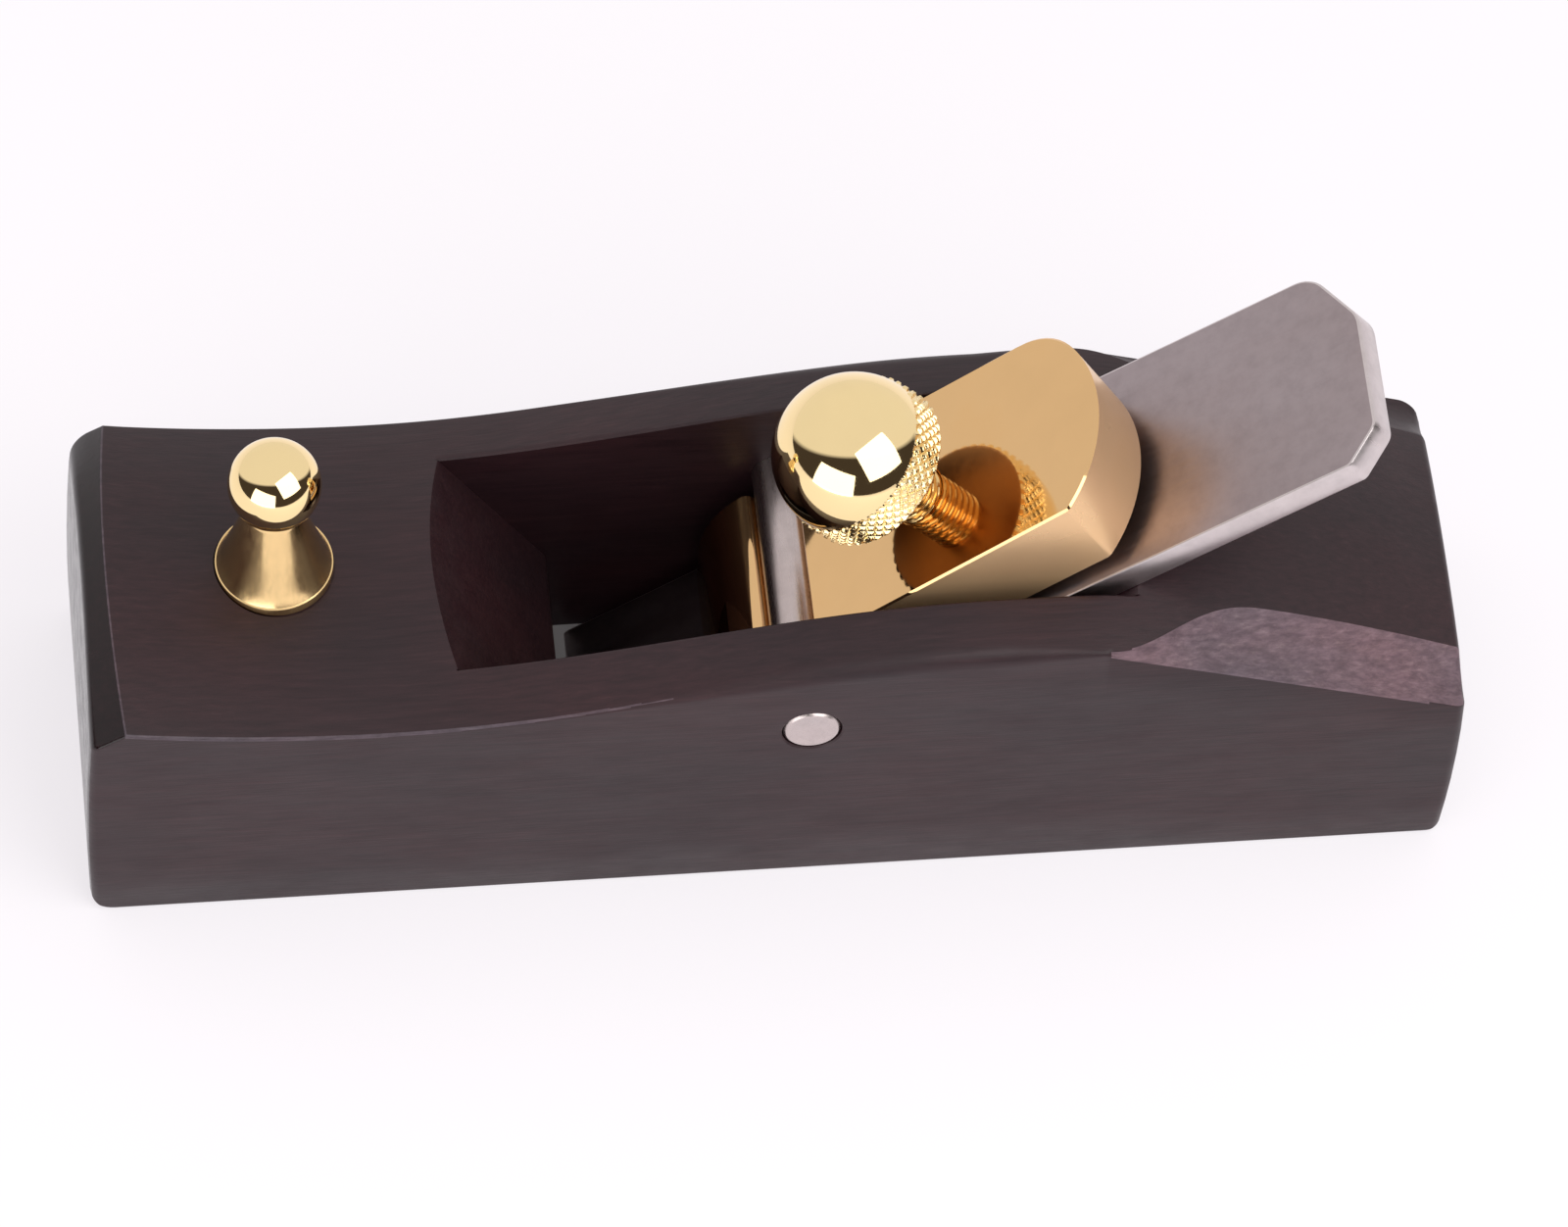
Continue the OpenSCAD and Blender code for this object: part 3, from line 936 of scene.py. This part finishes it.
def build_cap():
    dx, dz = NOSE_X - PIN.x, (NOSE_X - EDGE_X) * math.tan(rad(BED)) - PIN.z
    f = rad(FACE)
    nose_s, nose_n = dx * math.cos(f) + dz * math.sin(f), dz * math.cos(f) - dx * math.sin(f)
    top_s = nose_s + (FACE_N - nose_n) * math.tan(f)
    arc_s = top_s + NOSE_R * math.tan(rad(90 - FACE) / 2)
    side = [(CAP_L + 1, FACE_N)]
    side += arc(arc_s, FACE_N - NOSE_R, NOSE_R, 90, 180 - FACE, 10)
    side += [
        (nose_s + NOSE_GAP, nose_n + NOSE_GAP),
        (nose_s + 2.5, iron_n(nose_s + 2.5) + NOSE_GAP),
        (nose_s + 4.0, iron_n(nose_s + 4.0) + 1.05),
        (24.0, FACE_N - CAP_T),
        (CAP_L + 1, FACE_N - CAP_T - CAP_FALL),
    ]
    cap = extrusion("lever_cap_body", side, -CAP_HALF, CAP_HALF, "y", ON_CAP)
    hinge = Matrix.Translation((CAP_L, 0, FACE_N))
    leaning = hinge @ Matrix.Rotation(rad(CAP_LEAN), 4, "Y") @ hinge.inverted()
    common(cap, extrusion("plan", cap_plan(nose_s - 10), -50, 50, "z", ON_CAP @ leaning))
    front = -GROOVE_R - LEAD_IN - 1
    saddle = [(GROOVE_R, 12)] + arc(0, 0, GROOVE_R, 0, -180, 32)
    saddle += [(-GROOVE_R, FACE_N - LEAD_IN), (front, FACE_N + 1), (front, 12)]
    groove = extrusion("saddle", saddle, -20, 20, "y", ON_CAP)
    hole = lathe("hole", [(HOLE_R, -20), (HOLE_R, 20)], 72, ON_SCREW)
    cut(cap, groove, hole)
    soften(cap, 0.30, 1, 24)
    shade(cap, 30)
    return cap


def on_cap_side(face):
    """True on the long sides and on the end wall, which are satin; the rest is polished."""
    end_wall = abs(face.normal.dot(CAP_UP)) < 0.35 and face.center.x > 0.02
    return abs(face.normal.y) > 0.9 or end_wall


cap = finish_piece(build_cap(), "lever_cap", ["lever_cap"], CAP_BRASS)
second_material(cap, CAP_SIDES, on_cap_side)

# ---------------------------------------------------------------------------------------------
# Thumb screw and pad
# ---------------------------------------------------------------------------------------------

# The head: a dome over a knurled band, its middle DOME_N above the pin's axis
DOME_R = 11.0
DOME_N = FACE_N + 13.2
BAND_R = 11.3
BAND = (-4.6, 0.8)
KNURLS, KNURL_DEPTH = 44, 0.42
STUD_R, STUD_PITCH, STUD_DEPTH = 4.0, 1.25, 0.55
STUD_IN_KNOB = 9.0
ON_DOME = ON_SCREW @ Matrix.Translation((0, 0, DOME_N))


def knurl(z, turn):
    """Height between 0 and 1 of a diamond knurl, from two crossed sets of grooves."""
    run = KNURLS * turn / (2 * math.pi)
    lean = z * KNURLS / (2 * math.pi * BAND_R)
    a, b = (run + lean) % 1.0, (run - lean) % 1.0
    return min(1.0, 1.7 * min(abs(2 * a - 1), abs(2 * b - 1)))


def build_knob():
    low, high = BAND
    profile = [(0, low), (BAND_R - 0.9, low), (BAND_R - 0.55, low + 0.12)]
    rows = 54
    profile += [
        (BAND_R, low + 0.4 + (high - 0.25 - low - 0.4) * i / rows) for i in range(rows + 1)
    ]
    profile += [(DOME_R - 0.02, high)]
    start = math.degrees(math.asin(high / DOME_R))
    profile += arc(0, 0, DOME_R, start + 1.0, 90, 54)
    profile[-1] = (0, DOME_R)

    def radius(r, z, turn):
        if r < BAND_R or z > high:
            return r
        edge = min(1.0, (z - low) / 0.7, (high - z) / 0.5)
        return r - KNURL_DEPTH * (1 - knurl(z, turn) * edge)

    knob = lathe("screw_knob_body", profile, 528, ON_DOME, radius)
    bore_r = STUD_R + 0.01
    cut(knob, lathe("bore", [(bore_r, -20), (bore_r, low + STUD_IN_KNOB + 0.01)], 72, ON_DOME))
    shade(knob, 24)
    return knob


knob = finish_piece(build_knob(), "thumb_screw", ["screw_knob"], BALL_BRASS)
# The knob's flat underside takes the dark brown brass: painted shade.
second_material(knob, SHADED_UNDER_BRASS, lambda face: face.normal.dot(CAP_UP) < -0.9)

# The pad's domed foot rests on the iron, and its spigot turns in a blind hole in the stud
PAD_DOME_R = 14
PAD_R, PAD_H = 3.6, 2.3
SPIGOT_R, SPIGOT_TOP = 2.0, 5.15
RISE = math.cos(rad(FACE - BED))
PAD_N = iron_n(SCREW_ARM) + PAD_DOME_R / RISE - PAD_DOME_R + REST_GAP


def build_stud():
    low, high = PAD_N + PAD_H + 0.04, DOME_N + BAND[0] + STUD_IN_KNOB - 0.05
    stud = thread(
        "screw_stud_body", STUD_R - 0.01, low, high, STUD_PITCH, STUD_DEPTH, ON_SCREW, 96
    )
    hole_r = SPIGOT_R + 0.05
    cut(stud, lathe("stud_hole", [(hole_r, PAD_N + 1), (hole_r, PAD_N + 6.5)], 48, ON_SCREW))
    shade(stud, 40)
    return stud


finish_piece(build_stud(), "thumb_screw", ["screw_stud"], STUD_BRASS)


def build_pad():
    foot = [3.5 * i / 8 for i in range(9)]
    profile = [(r, PAD_DOME_R - math.sqrt(PAD_DOME_R**2 - r**2)) for r in foot]
    profile += [(PAD_R, 0.6), (PAD_R, PAD_H - 0.18), (PAD_R - 0.15, PAD_H), (SPIGOT_R, PAD_H)]
    profile += [(SPIGOT_R, SPIGOT_TOP - 0.15), (SPIGOT_R - 0.15, SPIGOT_TOP), (0, SPIGOT_TOP)]
    pad = lathe("pressure_pad_body", profile, 64, ON_SCREW @ Matrix.Translation((0, 0, PAD_N)))
    shade(pad, 30)
    return pad


finish_piece(build_pad(), "pad", ["pressure_pad"], STUD_BRASS)

# ---------------------------------------------------------------------------------------------
# Floor, light and camera
# ---------------------------------------------------------------------------------------------


def floor():
    """A pale sheet that glows, except under the plane, where it would light the mouth."""
    n = Nodes("floor_paper")
    tint = n.noise(n.place, 1.3, 2.0)
    n.link(n.ramp(tint, (0.3, (0.34, 0.33, 0.34)), (0.7, (0.36, 0.35, 0.36))), "Base Color")
    n.set(Roughness=0.9, Specular_IOR_Level=0.0, Emission_Color=(1.0, 0.965, 1.0, 1))
    split = n.tree.nodes.new("ShaderNodeSeparateXYZ")
    n.tree.links.new(n.place, split.inputs[0])
    under_x, under_y, glow = 0.090, 0.023, 0.66
    beyond_x = n.math("GREATER_THAN", n.math("ABSOLUTE", split.outputs["X"], 0), under_x)
    beyond_y = n.math("GREATER_THAN", n.math("ABSOLUTE", split.outputs["Y"], 0), under_y)
    n.link(n.math("MULTIPLY", n.math("MAXIMUM", beyond_x, beyond_y), glow), "Emission Strength")
    size = 1.5
    corners = [(-size, -size, 0), (size, -size, 0), (size, size, 0), (-size, size, 0)]
    mesh = bpy.data.meshes.new("floor")
    mesh.from_pydata(corners, [], [(0, 1, 2, 3)])
    mesh.materials.append(n.material)
    obj = bpy.data.objects.new("floor", mesh)
    bpy.context.scene.collection.objects.link(obj)


def softbox(name, direction, size):
    """A rectangular area light that faces the plane from a direction."""
    distance, watts = 0.8, 4.2
    data = bpy.data.lights.new(name, "AREA")
    data.shape = "RECTANGLE"
    data.size, data.size_y = size
    data.energy = watts
    obj = bpy.data.objects.new(name, data)
    away = Vector(direction).normalized()
    obj.location = Vector((0, 0, 0.05)) + away * distance
    obj.rotation_mode = "QUATERNION"
    obj.rotation_quaternion = away.to_track_quat("Z", "Y")
    bpy.context.scene.collection.objects.link(obj)


def world():
    """A bright ceiling that comes lower behind the plane, over a dark surround."""
    w = bpy.data.worlds.new("studio")
    w.use_nodes = True
    bpy.context.scene.world = w
    tree = w.node_tree
    back = tree.nodes["Background"]
    coord = tree.nodes.new("ShaderNodeTexCoord")
    split = tree.nodes.new("ShaderNodeSeparateXYZ")
    tree.links.new(coord.outputs["Generated"], split.inputs[0])
    lean = tree.nodes.new("ShaderNodeMath")
    lean.operation = "MULTIPLY_ADD"
    tree.links.new(split.outputs["Y"], lean.inputs[0])
    lean.inputs[1].default_value = 0.78
    tree.links.new(split.outputs["Z"], lean.inputs[2])
    ramp = tree.nodes.new("ShaderNodeValToRGB")
    dark, bright = ramp.color_ramp.elements
    dark.position, dark.color = 0.26, (0.055, 0.045, 0.04, 1)
    bright.position, bright.color = 0.36, (0.86, 0.84, 0.84, 1)
    tree.links.new(lean.outputs[0], ramp.inputs["Fac"])
    tree.links.new(ramp.outputs["Color"], back.inputs["Color"])
    back.inputs["Strength"].default_value = 1.0


def camera():
    turn, tilt, roll = rad(-9.15), rad(56.0), rad(4.35)
    distance = 1.351
    aim = Vector((-2.61, 0, 20)) * MM
    flat = math.cos(tilt)
    ahead = Vector((-math.sin(turn) * flat, math.cos(turn) * flat, -math.sin(tilt)))
    right = Vector((math.cos(turn), math.sin(turn), 0))
    up = right.cross(ahead)
    rolled_right = right * math.cos(roll) + up * math.sin(roll)
    rolled_up = up * math.cos(roll) - right * math.sin(roll)
    turned = Matrix((rolled_right, rolled_up, -ahead)).transposed().to_4x4()
    data = bpy.data.cameras.new("camera")
    data.sensor_width = 36
    data.lens = 230.4
    data.shift_x, data.shift_y = 0.0277, 0.01417
    data.clip_start, data.clip_end = 0.05, 20
    obj = bpy.data.objects.new("camera", data)
    obj.matrix_world = Matrix.Translation(aim - ahead * distance) @ turned
    bpy.context.scene.collection.objects.link(obj)
    bpy.context.scene.camera = obj


floor()
world()
softbox("key_left", (-0.55, -0.83, 0.10), (0.80, 0.72))
softbox("key_right", (0.47, -0.57, 0.68), (0.78, 0.72))
camera()

scene = bpy.context.scene
scene.view_settings.view_transform = "Standard"
scene.view_settings.look = "None"
